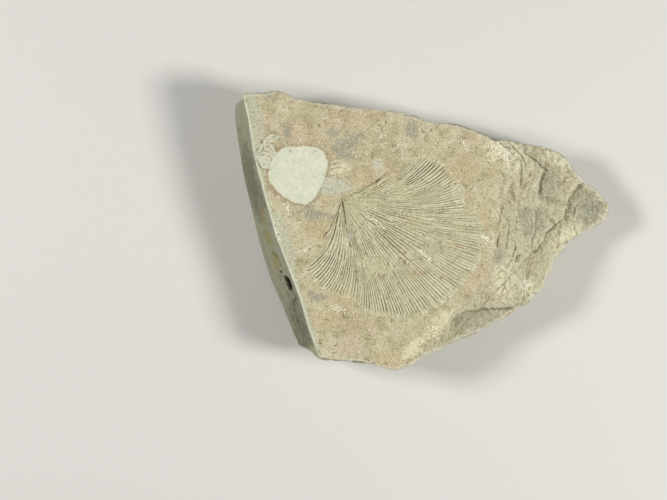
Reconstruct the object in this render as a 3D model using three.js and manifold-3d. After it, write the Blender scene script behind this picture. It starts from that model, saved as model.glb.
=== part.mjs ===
// A broken slab of fine buff sandstone with the impression of a large brachiopod: a shallow
// fan-shaped hollow crossed by fine radiating ribs. The left side is a sawn face that leans
// outwards, and the right end falls away to a thin tip in stepped fractures. Millimetres, +Z up,
// the slab lying on the flat of its underside.
import * as THREE from "three";
import { mergeVertices } from "three/addons/utils/BufferGeometryUtils.js";
import Module from "manifold-3d";

// The slab
const BEDDING_HEIGHT = 22.5; // of the flat upper surface above the table
const EDGE_ROUNDING = 0.5; // how far the broken upper edge is worn down
const FLAT_SHARE = 0.66; // the underside is flat inside this share of the outline
const UNDERSIDE_SHARES = [0.86, FLAT_SHARE, 0.33];
const SAWN_LEAN = 0.295; // outward run of the sawn face for each millimetre down
const SAWN_RUN = 2; // where the lower rim stands out further than this, the side is sawn
const BULGE = 0.5; // how far the broken sides stand out at half height
const PLACE = [-0.52, 0.01]; // moves the slab so that the origin is under the middle of its box

// Upper edge of the slab, clockwise from the upper left corner: x, y, the run from it out to the
// lower rim (inwards where negative), and the height of that rim above the table.
const OUTLINE = [
  [-48.1, 36.8, 0.4, 11.5], [-44.1, 37.4, -0.8, 8.5], [-40.1, 37.8, -1.4, 7.0], [-37.7, 37.4, -1.6, 6.5],
  [-35.0, 35.9, -1.2, 6.0], [-30.1, 35.1, -1.0, 5.5], [-24.7, 34.1, -1.4, 5.0], [-18.8, 33.4, -1.8, 4.5],
  [-11.8, 32.8, -1.5, 4.8], [-5.9, 31.7, -1.2, 5.6], [-0.5, 30.6, -1.6, 6.0], [2.7, 29.4, -1.8, 5.6],
  [8.1, 28.7, -1.3, 5.0], [13.0, 27.4, -1.0, 4.6], [16.8, 25.9, -1.2, 4.4], [20.0, 24.2, -1.4, 4.6],
  [21.5, 24.8, -1.6, 5.0], [26.0, 23.9, -1.4, 5.2], [32.7, 23.2, -1.2, 4.8], [36.6, 21.9, -1.4, 4.2],
  [39.4, 20.2, -1.5, 4.0], [41.9, 17.1, -1.2, 4.0], [44.2, 14.2, -1.2, 4.2], [48.9, 11.1, -1.4, 4.4],
  [51.3, 7.3, -1.2, 4.2], [51.6, 5.4, -1.2, 4.0], [50.5, 3.3, -1.4, 3.8], [45.6, 0.3, -1.2, 3.4],
  [41.9, -2.1, -1.0, 3.2], [38.5, -5.1, -1.2, 3.4], [36.1, -7.5, -1.5, 3.6], [35.2, -10.8, -1.6, 4.0],
  [33.0, -15.7, -1.4, 4.4], [30.8, -17.1, -1.4, 4.6], [30.2, -18.8, -1.6, 4.6], [25.1, -21.7, -1.4, 4.4],
  [21.0, -24.4, -1.2, 4.2], [15.5, -27.1, -1.2, 4.4], [7.8, -30.3, -1.4, 4.8], [1.2, -33.6, -1.6, 5.4],
  [-2.6, -35.8, -1.6, 6.0], [-6.1, -37.5, -1.4, 6.6], [-8.5, -37.7, -1.4, 6.8], [-11.8, -36.3, -1.6, 6.6],
  [-15.0, -35.2, -1.6, 6.4], [-20.7, -34.8, -1.2, 7.0], [-27.6, -34.4, 0.4, 9.5], [-30.7, -25.6, 4.7, 6.0],
  [-32.8, -18.3, 5.6, 3.4], [-35.5, -11.0, 6.2, 1.6], [-37.7, -5.3, 5.8, 2.8], [-39.3, -1.3, 5.3, 4.6],
  [-41.5, 6.4, 4.9, 6.0], [-44.1, 16.0, 4.6, 7.0], [-45.6, 22.4, 4.0, 8.8], [-46.8, 30.5, 4.1, 8.8],
  [-47.8, 34.5, 3.1, 11.2],
];

// The fracture zone: the bedding surface ends on BREAK, and beyond it the stone falls away to the
// right in steps. Each step is a line with its lower side on the right hand of its direction, and
// names the outer ring of the mesh that runs along its head, with the next ring along its foot.
// They stand in the order in which a line going outwards crosses them.
const BREAK = [
  [-4.8, -37.5], [-1.0, -32.0], [2.7, -28.2], [7.1, -21.5], [10.3, -18.0], [14.1, -15.0], [16.2, -11.8],
  [18.6, -6.4], [19.7, -1.0], [20.0, 4.4], [18.9, 9.8], [19.5, 14.6], [21.1, 18.4], [20.0, 27.0],
];
const FALL = 0.26; // drop for each millimetre beyond BREAK
const STEPS = [
  {
    ring: 2, drop: 0.7, width: 0.8,
    line: [[26.3, 10.1], [26.7, 13.8], [27.1, 16.8], [26.6, 18.7], [23.1, 22.5], [20.9, 24.4]],
  },
  {
    ring: 4, drop: 1.5, width: 0.9,
    line: [[32.1, 8.0], [32.8, 11.8], [33.2, 14.8], [33.1, 17.7], [31.5, 19.6], [29.6, 21.3]],
  },
  {
    ring: 7, drop: 1.7, width: 1.1,
    line: [
      [26.3, -11.5], [30.5, -6.7], [35.1, -1.8], [39.5, 2.9], [41.4, 7.0], [41.7, 8.6], [46.3, 12.7],
    ],
  },
  {
    ring: 7, drop: 2.4, width: 1.2,
    line: [[6.7, -29.0], [7.2, -25.4], [10.8, -22.7], [17.3, -21.3], [24.9, -20.4], [29.0, -19.2]],
  },
];
const STEP_FADE = 3; // a step dies down over this length at each end
const STEP_LEAST = 0.35; // to this share of its drop

// The impression. Its ribs leave the beak and sweep out to the margin. Each guide has the margin
// point where a rib ends, and the rib's heading in degrees at the beak and at the margin. The last
// six close the ring through the stone behind the beak, where there are no ribs.
const BEAK = [-21.6, 8.8];
const GUIDES = [
  [-8.0, 18.2, 22, 46], [-3.7, 19.5, 10, 52], [0.9, 20.3, 3, 54], [5.7, 18.1, 0, 48], [9.8, 13.5, -4, 34],
  [12.4, 8.4, -9, 14], [16.2, 2.5, -16, -1], [16.8, -2.4, -22, -8], [15.4, -8.3, -28, -20],
  [11.9, -13.2, -34, -31], [7.6, -17.7, -41, -42], [3.3, -21.0, -49, -52], [-1.8, -23.4, -56, -63],
  [-7.2, -23.3, -62, -73], [-12.3, -22.7, -68, -83], [-16.1, -20.7, -73, -97], [-19.4, -18.3, -77, -108],
  [-22.9, -17.2, -82, -122], [-26.4, -15.9, -86, -135], [-29.3, -13.2, -91, -146], [-31.2, -10.2, -102, -153],
  [-31.6, -7.8, -110, -148], [-33.6, -2.0, -140, -140], [-36.1, 8.8, -180, -180], [-33.6, 17.8, -217, -217],
  [-25.0, 23.2, -256, -256], [-17.2, 23.2, -287, -287], [-12.2, 20.4, -309, -309],
];
const RIBBED_GUIDES = 22;
const GUIDE_PULL = 0.36; // how long a rib keeps each heading, as a share of its length
const HINGE_FADE = 0.012; // share of a turn over which the impression begins at each end
const RIBS = [28, 56, 112]; // near the beak, and after each set of new ribs grows in the grooves
const RIB_RINGS = [[0.1, 0.2, 0.3], [0.42, 0.52, 0.62], [0.7, 0.78, 0.86, 0.94, 1]];
const RIB_HEIGHT = 0.34;
const DISH_DEPTH = 1.1;
const MARGIN_STEP = 0.35; // the impression ends in a small scarp against the bedding surface

// Shell plates left narrow clefts in the impression: x, y points of each, its width and its depth.
const CLEFTS = [
  { width: 0.7, depth: 0.9, line: [[-21.5, 7.6], [-20.8, 4.6], [-20.4, 0.9], [-19.4, -3.7], [-18.5, -5.6]] },
  { width: 0.6, depth: 0.6, line: [[-19.4, 9.6], [-16.7, 11.1], [-13.4, 12.7], [-10.7, 14.9]] },
  { width: 0.6, depth: 0.5, line: [[-22.3, 6.3], [-23.4, 3.8], [-25.8, -0.5], [-27.2, -2.6]] },
];

// Columns of the mesh behind the beak at each rib set, the rings from the impression's margin out
// to the upper edge, those down the side, and the columns of the underside's flat.
const PLAIN_COLUMNS = [14, 22, 34];
const OUTER_RINGS = [0.1, 0.22, 0.34, 0.46, 0.58, 0.68, 0.78, 0.88, 0.96, 1];
const SIDE_RINGS = [0.08, 0.3, 0.52, 0.76, 1];
const UNDERSIDE_COLUMNS = 72;

// Hollows of dissolved shells that the saw cut open. Each one's place is the distance along the
// sawn edge from its lower end and the depth below that edge, then its size along, down and in.
const SAWN_HOLLOWS = [
  { at: [23.0, 5.6], size: [4.6, 3.6, 5.0], turn: 0 }, // the open hollow
  { at: [26.4, 8.6], size: [1.9, 0.9, 1.4], turn: 1.1 },
  { at: [28.6, 6.3], size: [2.2, 0.7, 1.2], turn: 0.4 },
  { at: [31.2, 6.9], size: [1.2, 0.8, 1.2], turn: -0.6 },
  { at: [32.6, 7.8], size: [1.3, 0.7, 1.2], turn: -0.7 },
  { at: [14.4, 6.2], size: [3.0, 0.5, 1.2], turn: 0.9 },
];
const SAWN_EDGE = [[-27.9, -33.4], [-47.6, 33.5]]; // lower and upper end of the sawn upper edge

const DEGREE = Math.PI / 180;
const clamp = (v) => Math.min(1, Math.max(0, v));
const smooth = (v) => clamp(v) ** 2 * (3 - 2 * clamp(v));
const mix = (a, b, share) => a + (b - a) * share;

// Nearest point of a line of points: the distance, which side, and how far along the line it is.
function nearest(line, x, y) {
  let found = { distance: Infinity };
  let before = 0;
  for (let i = 0; i + 1 < line.length; i++) {
    const [ax, ay] = line[i];
    const [dx, dy] = [line[i + 1][0] - ax, line[i + 1][1] - ay];
    const length = Math.hypot(dx, dy);
    const share = clamp(((x - ax) * dx + (y - ay) * dy) / length ** 2);
    const distance = Math.hypot(x - ax - dx * share, y - ay - dy * share);
    if (distance < found.distance) {
      const side = Math.sign((x - ax) * dy - (y - ay) * dx) || 1;
      found = { distance, side, along: before + share * length };
    }
    before += length;
  }
  return { ...found, length: before };
}

// Height of the upper surface without the impression.
function stoneHeight(x, y) {
  const beyond = nearest(BREAK, x, y);
  const past = beyond.side * beyond.distance;
  let z = BEDDING_HEIGHT - FALL * Math.max(0, past) * smooth(past / 4 + 0.3);
  for (const { drop, width, line } of STEPS) {
    const step = nearest(line, x, y);
    const ends = smooth(step.along / STEP_FADE) * smooth((step.length - step.along) / STEP_FADE);
    z -= drop * mix(STEP_LEAST, 1, ends) * smooth((step.side * step.distance) / width + 0.5);
  }
  return z;
}

function cleftDepth(x, y) {
  let depth = 0;
  for (const { width, depth: full, line } of CLEFTS) {
    const cleft = nearest(line, x, y);
    const taper = smooth((cleft.length - cleft.along) / 2);
    depth = Math.max(depth, full * taper * smooth(1.5 - cleft.distance / width));
  }
  return depth;
}

// The guides as closed smooth curves, so that any rib between two guides can be found by its turn,
// which runs from 0 to RIBBED over the impression and on to 1 behind the beak.
const count = GUIDES.length;
const guide = (i) => {
  const [x, y, start, end] = GUIDES[((i % count) + count) % count];
  const laps = 360 * Math.floor(i / count);
  return [x, y, start - laps, end - laps];
};
const marks = [0];
for (let i = 0; i < count; i++) {
  const [a, b] = [guide(i), guide(i + 1)];
  marks.push(marks[i] + Math.hypot(b[0] - a[0], b[1] - a[1]));
}
const around = marks[count];
const RIBBED = marks[RIBBED_GUIDES - 1] / around;

function rib(turn) {
  let i = 0;
  while (i < count - 1 && marks[i + 1] < turn * around) i++;
  const f = (turn * around - marks[i]) / (marks[i + 1] - marks[i]);
  const [p0, p1, p2, p3] = [guide(i - 1), guide(i), guide(i + 1), guide(i + 2)];
  return p1.map((_, k) => {
    const [a, b, c, d] = [p0[k], p1[k], p2[k], p3[k]];
    return b + 0.5 * f * (c - a + f * (2 * a - 5 * b + 4 * c - d + f * (3 * (b - c) + d - a)));
  });
}

// Point of the rib at this turn, a share of the way from the beak to the margin.
function ribPoint(turn, share) {
  const [mx, my, start, end] = rib(turn);
  const pull = GUIDE_PULL * Math.hypot(mx - BEAK[0], my - BEAK[1]);
  const ahead = (x, y, angle, length) =>
    new THREE.Vector2(x + length * Math.cos(angle * DEGREE), y + length * Math.sin(angle * DEGREE));
  const curve = new THREE.CubicBezierCurve(
    new THREE.Vector2(...BEAK),
    ahead(...BEAK, start, pull),
    ahead(mx, my, end, -pull),
    new THREE.Vector2(mx, my),
  );
  return curve.getPoint(share);
}

// Where two lines cross: how far out from the point as a share of across, and what share of the
// way from a to b. The sine of the angle between them says how square the crossing is.
function crossing([px, py], [dx, dy], a, b) {
  const [ex, ey] = [b[0] - a[0], b[1] - a[1]];
  const cross = dx * ey - dy * ex;
  return {
    out: ((a[0] - px) * ey - (a[1] - py) * ex) / cross,
    share: ((a[0] - px) * dy - (a[1] - py) * dx) / cross,
    sine: Math.abs(cross) / Math.hypot(dx, dy) / Math.hypot(ex, ey),
  };
}

// Where the line from the beak through (x, y) leaves the slab.
function edgePoint(x, y) {
  const across = [x - BEAK[0], y - BEAK[1]];
  for (let i = 0; i < OUTLINE.length; i++) {
    const [a, b] = [OUTLINE[i], OUTLINE[(i + 1) % OUTLINE.length]];
    const { out, share } = crossing(BEAK, across, a, b);
    if (out > 0 && share >= 0 && share < 1) {
      const length = Math.hypot(b[0] - a[0], b[1] - a[1]);
      return {
        x: BEAK[0] + across[0] * out,
        y: BEAK[1] + across[1] * out,
        normal: [(a[1] - b[1]) / length, (b[0] - a[0]) / length],
        run: mix(a[2], b[2], share),
        rim: mix(a[3], b[3], share),
      };
    }
  }
  throw new Error("the outline doesn't surround the beak");
}

function impressionHeight(turn, share, crest) {
  const { x, y } = ribPoint(turn, share);
  const ribbed = smooth(turn / HINGE_FADE) * smooth((RIBBED - turn) / HINGE_FADE);
  const dish = DISH_DEPTH * Math.sin(Math.PI * share ** 0.8) ** 0.7;
  const scarp = share < 1 ? MARGIN_STEP * smooth(share / 0.3) : 0;
  const groove = RIB_HEIGHT * (1 - crest) * smooth(share / 0.15);
  const z = stoneHeight(x, y) - ribbed * (dish + scarp + groove) - cleftDepth(x, y);
  return new THREE.Vector3(x, y, z);
}

// A ring is a list of { turn, point }. Two rings of any number of points are joined by triangles,
// each step taken on the ring whose next point comes first.
const points = [];
const triangles = [];

function addRing(turns, place) {
  return turns.map((turn, i) => ({ turn, index: points.push(place(turn, i)) - 1 }));
}

function join(inner, outer) {
  let [i, o] = [0, 0];
  const turnOf = (ring, k) => ring[k % ring.length].turn + Math.floor(k / ring.length);
  while (i < inner.length || o < outer.length) {
    const [a, b] = [inner[i % inner.length].index, outer[o % outer.length].index];
    const innerFirst = turnOf(inner, i + 1) + turnOf(inner, i) < turnOf(outer, o + 1) + turnOf(outer, o);
    if (o === outer.length || (i < inner.length && innerFirst)) {
      triangles.push([a, inner[++i % inner.length].index, b]);
    } else {
      triangles.push([a, outer[++o % outer.length].index, b]);
    }
  }
}

const evenTurns = (from, to, steps) => Array.from({ length: steps }, (_, i) => mix(from, to, i / steps));

// The ribbed rings: two columns to each rib, one on the crest and one in the groove.
points.push(new THREE.Vector3(...BEAK, stoneHeight(...BEAK) - MARGIN_STEP));
let last = null;
RIBS.forEach((ribs, set) => {
  const turns = [...evenTurns(0, RIBBED, 2 * ribs), ...evenTurns(RIBBED, 1, PLAIN_COLUMNS[set])];
  for (const share of RIB_RINGS[set]) {
    const ring = addRing(turns, (turn, i) => impressionHeight(turn, share, i < 2 * ribs ? 1 - (i % 2) : 1));
    if (last) {
      join(last, ring);
    } else {
      ring.forEach(({ index }, i) => triangles.push([0, ring[(i + 1) % ring.length].index, index]));
    }
    last = ring;
  }
});

// The shares of the outer rings along one column. Where it crosses a step, the step's own ring and
// the next one are held on its head and its foot, and the others are spread out between them.
function outerShares(from, edge) {
  const across = [edge.x - from[0], edge.y - from[1]];
  const held = [{ plain: 0, moved: 0 }];
  for (const { ring, width, line } of STEPS) {
    for (let i = 0; i + 1 < line.length; i++) {
      const { out, share, sine } = crossing(from, across, line[i], line[i + 1]);
      const half = width / 2 / sine / Math.hypot(...across);
      const free = out - half > held.at(-1).moved && out + half < 1;
      if (free && share >= 0 && share < 1) {
        held.push({ plain: OUTER_RINGS[ring], moved: out - half });
        held.push({ plain: OUTER_RINGS[ring + 1], moved: out + half });
        break;
      }
    }
  }
  held.push({ plain: 1, moved: 1 });
  return OUTER_RINGS.map((plain) => {
    const k = held.findIndex((hold) => hold.plain >= plain);
    const [a, b] = [held[k - 1], held[k]];
    return mix(a.moved, b.moved, (plain - a.plain) / (b.plain - a.plain));
  });
}

// Out over the bedding surface and the stepped fracture to the upper edge, one column to a rib.
const outerTurns = [...evenTurns(0, RIBBED, RIBS[2]), ...evenTurns(RIBBED, 1, PLAIN_COLUMNS[2])];
const columns = outerTurns.map((turn) => {
  const from = rib(turn).slice(0, 2);
  const edge = edgePoint(...from);
  return { from, edge, shares: outerShares(from, edge) };
});
OUTER_RINGS.forEach((_, k) => {
  const ring = addRing(outerTurns, (turn, i) => {
    const { from, edge, shares } = columns[i];
    const [x, y] = [mix(from[0], edge.x, shares[k]), mix(from[1], edge.y, shares[k])];
    return new THREE.Vector3(x, y, stoneHeight(x, y) - (shares[k] === 1 ? EDGE_ROUNDING : 0));
  });
  join(last, ring);
  last = ring;
});

// Down the side to the lower rim. The sawn face is flat, and the broken sides bulge a little.
function sidePoint(turn, share) {
  const { x, y, normal, run, rim } = edgePoint(...rib(turn).slice(0, 2));
  const head = stoneHeight(x, y) - EDGE_ROUNDING;
  const broken = share * run + BULGE * Math.sin(Math.PI * share);
  const out = run > SAWN_RUN ? share * SAWN_LEAN * (head - rim) : broken;
  return new THREE.Vector3(x + normal[0] * out, y + normal[1] * out, mix(head, rim, share));
}
for (const share of SIDE_RINGS) {
  const ring = addRing(outerTurns, (turn) => sidePoint(turn, share));
  join(last, ring);
  last = ring;
}

// The underside rises from its flat to the rim.
for (const share of UNDERSIDE_SHARES) {
  const turns = share > FLAT_SHARE ? outerTurns : evenTurns(0, 1, UNDERSIDE_COLUMNS);
  const ring = addRing(turns, (turn) => {
    const rim = sidePoint(turn, 1);
    const lift = rim.z * clamp((share - FLAT_SHARE) / (1 - FLAT_SHARE)) ** 1.4;
    return new THREE.Vector3(mix(BEAK[0], rim.x, share), mix(BEAK[1], rim.y, share), lift);
  });
  join(last, ring);
  last = ring;
}
const base = points.push(new THREE.Vector3(...BEAK, 0)) - 1;
last.forEach(({ index }, i) => triangles.push([base, index, last[(i + 1) % last.length].index]));

const wasm = await Module();
wasm.setup();

function solid(geometry) {
  const bare = geometry.clone();
  bare.deleteAttribute("normal");
  bare.deleteAttribute("uv");
  const merged = mergeVertices(bare, 1e-4);
  return new wasm.Manifold(
    new wasm.Mesh({
      numProp: 3,
      vertProperties: new Float32Array(merged.attributes.position.array),
      triVerts: new Uint32Array(merged.index.array),
    }),
  );
}

// An egg-shaped hollow opened by the saw, in the plane of the sawn face.
function sawnHollow({ at: [along, down], size, turn }) {
  const [low, high] = SAWN_EDGE.map(([x, y]) => new THREE.Vector3(x, y, BEDDING_HEIGHT));
  const alongEdge = high.clone().sub(low).normalize();
  const outward = new THREE.Vector3(-alongEdge.y, alongEdge.x, 0);
  const downFace = outward.clone().multiplyScalar(SAWN_LEAN).add(new THREE.Vector3(0, 0, -1)).normalize();
  const face = new THREE.Matrix4().makeBasis(alongEdge, downFace, alongEdge.clone().cross(downFace));
  const foot = low.clone().addScaledVector(alongEdge, along);
  const edge = edgePoint(foot.x, foot.y);
  const centre = new THREE.Vector3(edge.x, edge.y, BEDDING_HEIGHT - EDGE_ROUNDING);
  centre.addScaledVector(downFace, down);
  const geometry = new THREE.SphereGeometry(0.5, 12, 8).scale(...size).rotateZ(turn);
  return solid(geometry.applyMatrix4(face).translate(centre.x, centre.y, centre.z));
}

let stone = solid(new THREE.BufferGeometry().setFromPoints(points).setIndex(triangles.flat()));
for (const hollow of SAWN_HOLLOWS) {
  stone = stone.subtract(sawnHollow(hollow));
}

const cut = stone.getMesh();
const geometry = new THREE.BufferGeometry()
  .setAttribute("position", new THREE.BufferAttribute(cut.vertProperties, 3))
  .setIndex(new THREE.BufferAttribute(cut.triVerts, 1));
geometry.translate(...PLACE, 0);
geometry.computeVertexNormals();

const sandstone = new THREE.MeshStandardMaterial({ color: 0xbdb593, roughness: 0.92, metalness: 0 });
const slab = new THREE.Mesh(geometry, sandstone);
slab.name = "slab";

const fossil = new THREE.Group();
fossil.add(slab);
export default fossil;
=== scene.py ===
import math

import bpy
import numpy as np
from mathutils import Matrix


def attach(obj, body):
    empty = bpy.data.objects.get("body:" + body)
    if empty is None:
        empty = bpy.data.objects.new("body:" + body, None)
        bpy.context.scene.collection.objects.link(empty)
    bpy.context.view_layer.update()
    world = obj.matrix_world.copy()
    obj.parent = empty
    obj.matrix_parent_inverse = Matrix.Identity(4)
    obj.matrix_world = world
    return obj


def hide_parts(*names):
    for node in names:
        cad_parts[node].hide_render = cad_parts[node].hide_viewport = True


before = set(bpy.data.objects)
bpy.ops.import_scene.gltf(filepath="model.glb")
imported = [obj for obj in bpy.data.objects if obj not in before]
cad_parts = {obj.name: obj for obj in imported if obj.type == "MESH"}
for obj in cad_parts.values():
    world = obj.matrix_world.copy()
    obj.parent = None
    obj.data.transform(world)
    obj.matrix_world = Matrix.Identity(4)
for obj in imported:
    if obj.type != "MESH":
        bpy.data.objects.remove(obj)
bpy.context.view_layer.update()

# The mould: the ribbed hollow that a large brachiopod shell left in the sand before it turned to
# stone. Its ribs fan out from the beak on smooth curves. Lengths are in millimetres, in the same
# drawing as the slab's solid, and PLACE brings the middle of the slab to the origin.
MM = 0.001
PLACE = (-0.52, 0.01)
BEAK = (-21.6, 8.8)
GUIDE_PULL = 0.36  # how far each end's heading reaches, as a share of the rib's length
RIBBED_GUIDES = 22  # the guides after these close the ring behind the beak, without ribs
GUIDES = np.array([  # where a rib ends, and its heading in degrees at the beak and at its end
    (-8.0, 18.2, 22, 46), (-3.7, 19.5, 10, 52), (0.9, 20.3, 3, 54), (5.7, 18.1, 0, 48),
    (9.8, 13.5, -4, 34), (12.4, 8.4, -9, 14), (16.2, 2.5, -16, -1), (16.8, -2.4, -22, -8),
    (15.4, -8.3, -28, -20), (11.9, -13.2, -34, -31), (7.6, -17.7, -41, -42),
    (3.3, -21.0, -49, -52), (-1.8, -23.4, -56, -63), (-7.2, -23.3, -62, -73),
    (-12.3, -22.7, -68, -83), (-16.1, -20.7, -73, -97), (-19.4, -18.3, -77, -108),
    (-22.9, -17.2, -82, -122), (-26.4, -15.9, -86, -135), (-29.3, -13.2, -91, -146),
    (-31.2, -10.2, -102, -153), (-31.6, -7.8, -110, -148), (-33.6, -2.0, -140, -140),
    (-36.1, 8.8, -180, -180), (-33.6, 17.8, -217, -217), (-25.0, 23.2, -256, -256),
    (-17.2, 23.2, -287, -287), (-12.2, 20.4, -309, -309)])
marks = np.concatenate([[0], np.cumsum(np.hypot(*(np.roll(GUIDES, -1, 0) - GUIDES)[:, :2].T))])
around = marks[-1]
ribbed = marks[RIBBED_GUIDES - 1] / around


def rib(turn):
    """Margin point and two headings of the rib at each turn from 0 to 1, on closed curves."""
    count = len(GUIDES)
    turn = np.asarray(turn) % 1.0
    i = np.clip(np.searchsorted(marks, turn * around, side="left") - 1, 0, count - 1)
    f = ((turn * around - marks[i]) / (marks[i + 1] - marks[i]))[..., None]
    near = []
    for k in (-1, 0, 1, 2):
        guide = GUIDES[(i + k) % count].copy()
        guide[..., 2:] -= 360.0 * np.floor((i + k) / count)[..., None]
        near.append(guide)
    a, b, c, d = near
    return b + 0.5 * f * (c - a + f * (2 * a - 5 * b + 4 * c - d + f * (3 * (b - c) + d - a)))


def rib_point(turn, share):
    """Point at a share of the way along the rib at each turn."""
    end_x, end_y, start, end = np.moveaxis(rib(turn), -1, 0)
    start, end = np.radians(start), np.radians(end)
    pull = GUIDE_PULL * np.hypot(end_x - BEAK[0], end_y - BEAK[1])
    rest = 1 - share
    weights = (rest**3, 3 * rest**2 * share, 3 * rest * share**2, share**3)
    xs = (BEAK[0], BEAK[0] + pull * np.cos(start), end_x - pull * np.cos(end), end_x)
    ys = (BEAK[1], BEAK[1] + pull * np.sin(start), end_y - pull * np.sin(end), end_y)
    return sum(w * x for w, x in zip(weights, xs)), sum(w * y for w, y in zip(weights, ys))


def smooth(v):
    v = np.clip(v, 0, 1)
    return v * v * (3 - 2 * v)


def mix(a, b, share):
    return a + (b - a) * share


def relief(u, v, width, seed):
    """Smooth random relief from -1 to 1, with bumps about width across, turned by its seed."""
    size = 128
    heights = np.random.default_rng(seed).uniform(-1, 1, (size, size))
    c, s = math.cos(seed) / width, math.sin(seed) / width
    u, v = u * c - v * s + size / 2, u * s + v * c + size / 2
    i, j = np.floor(u).astype(int), np.floor(v).astype(int)
    fu, fv = smooth(u - i), smooth(v - j)
    corner = [[heights[(i + a) % size, (j + b) % size] for b in (0, 1)] for a in (0, 1)]
    return mix(mix(corner[0][0], corner[1][0], fu), mix(corner[0][1], corner[1][1], fu), fv)


def bumps(u, v, sizes):
    """Sum of reliefs, each given as its width, height and seed."""
    return sum(height * relief(u, v, width, seed) for width, height, seed in sizes)


# Every column of the mesh follows a rib from the beak and goes on to the slab's edge. Each rib
# at the margin has four, at slightly uneven distances, as the ribs themselves are.
RIBS = (14, 28, 56, 112)  # near the beak, and after each new set of ribs
COLUMNS_PER_RIB = 4
PLAIN_COLUMNS = 220
UNEVEN_RIBS = [(0.03, 0.0025, 35), (0.11, 0.004, 36)]  # in shares of the way across the ribs
EVEN_END = 0.1  # towards each end, over this share of the way, the ribs stand evenly
phase = np.linspace(0, 1, RIBS[-1] * COLUMNS_PER_RIB, endpoint=False)
unevenness = smooth(phase / EVEN_END) * smooth((1 - phase) / EVEN_END)
turns = np.concatenate([
    ribbed * (phase + unevenness * bumps(phase, 0 * phase, UNEVEN_RIBS)),
    np.linspace(ribbed, 1, PLAIN_COLUMNS, endpoint=False)])
phase = np.concatenate([phase, np.ones(PLAIN_COLUMNS)])
columns = len(turns)

# The mould's own rings. The shell's growth left the ribs slightly wavy. New ones start in the
# grooves between the old, at uneven distances, and each groove has a depth of its own.
FAN_RINGS = 48
FAN_START = 0.015  # where the first ring lies, as a share of the way from the beak
FAN_REACH = 30  # about the length of a rib
HINGE_FADE = 0.012  # share of the ring over which the fan fades out at both its ends
WAVE = [(3.0, 0.15, 31), (1.2, 0.09, 32)]
GROWTH = (0.0, 0.15, 0.31, 0.62)  # share of the way to the margin where each set starts
GROWTH_FADE = 0.1
UNEVEN_GROWTH = 0.09
GROOVE_DEPTHS = (0.6, 1.25)
GROOVE_SHARPNESS = 1.5
DEEP_RIBS = [  # x, y, two radii and turn in degrees
    (2.2, 15.1, 7.5, 3.6, 20), (-10.7, -20.7, 7.5, 3.2, 0), (-26.1, -10.5, 4.6, 7.0, 0),
    (-14.0, 3.0, 6.0, 3.4, -40), (3.0, -17.6, 6.0, 4.0, -40), (-24.5, 2.0, 2.6, 5.0, -25),
    (8.6, 11.4, 3.0, 4.6, 10)]
FAINT_RIBS = [
    (-12.6, -9.9, 2.4, 2.4, 0), (-20.4, -2.4, 1.0, 2.4, 0), (-7.2, 14.2, 1.6, 4.0, 20),
    (-18.5, 11.6, 3.0, 1.6, 20), (-14.5, 8.0, 3.6, 1.2, -8)]
DEEPER, FAINTER = 0.5, 0.65
PATCHY = [(4.0, 0.2, 33), (1.3, 0.3, 34)]
RIB_HEIGHT = 0.34
FULL_HEIGHT_AT = 0.3  # share of the way from the beak where ribs and step are fully grown
LEAST_RIB = 0.4  # the ribs' height at the beak, as a share of the full one
RIB_ENDS = (0.0, 0.045)  # how far before the margin each rib ends, as a share of the way
WORN_BACK = 0.12  # how much earlier it ends where the margin is worn
RIB_END_FADE = 0.03
RIM_FADE = 0.012  # no rib crosses the margin
DISH_DEPTH = 1.1
DISH_CURVE = 0.8  # below 1, the dish is deepest on the beak's side of the middle
MARGIN_STEP = 0.28
MARGIN_SCARP = 0.05  # width of that step, as a share of the way from the beak
KEPT_SHARE = 0.6  # how much of that step is left, on average
MARGIN_WEAR = [(5.0, 0.5, 38), (1.8, 0.3, 39)]
WORN_MARGIN = [(13.2, 9.8, 1.9, 3.8, 12), (-6.0, 19.4, 3.0, 1.2, 12)]
SPOT_FADE = 0.7  # how fast every oval spot fades outwards


def spots(x, y, ovals):
    """1 in the middle of each oval (x, y, two radii, turn in degrees), fading outwards."""
    shade = np.zeros(np.shape(x))
    for cx, cy, rx, ry, turn in ovals:
        c, s = math.cos(math.radians(turn)), math.sin(math.radians(turn))
        u = ((x - cx) * c + (y - cy) * s) / rx
        v = ((y - cy) * c - (x - cx) * s) / ry
        shade = np.maximum(shade, np.exp(-SPOT_FADE * (u * u + v * v)))
    return shade


fan_share = np.linspace(FAN_START, 1, FAN_RINGS)[:, None]
fan_turn = np.broadcast_to(turns, (FAN_RINGS, columns))
on_fan = smooth(fan_turn / HINGE_FADE) * smooth((ribbed - fan_turn) / HINGE_FADE)
sway = on_fan * bumps(fan_turn * around, fan_share * FAN_REACH, WAVE)
sway = sway * 4 * fan_share * (1 - fan_share)
fan_x, fan_y = rib_point(fan_turn + sway / around, fan_share)

groove = np.zeros(fan_turn.shape)
# crest_highlight is 1 on the rib crests, where a painted highlight is laid
crest_highlight = np.zeros(fan_turn.shape)
for ribs, start in zip(RIBS, GROWTH):
    depths = np.random.default_rng(ribs).uniform(*GROOVE_DEPTHS, ribs)
    wall = np.abs(np.cos(np.pi * ribs * phase))
    own = (1 - wall)**GROOVE_SHARPNESS * depths[np.minimum(ribs * phase, ribs - 1).astype(int)]
    uneven = UNEVEN_GROWTH * relief(phase * ribs / 2, 0 * phase, 1.0, ribs)
    grown = smooth((fan_share + uneven - start) / GROWTH_FADE + 0.5)
    groove = mix(groove, own, grown)
    crest_highlight = mix(crest_highlight, wall**2, grown)
marked = 1 + DEEPER * spots(fan_x, fan_y, DEEP_RIBS)
marked = marked * (1 - FAINTER * spots(fan_x, fan_y, FAINT_RIBS))
full_height = smooth(fan_share / FULL_HEIGHT_AT)
marked = marked * (1 + bumps(fan_x, fan_y, PATCHY)) * mix(LEAST_RIB, 1, full_height)
worn_margin = spots(fan_x, fan_y, WORN_MARGIN)
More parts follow.
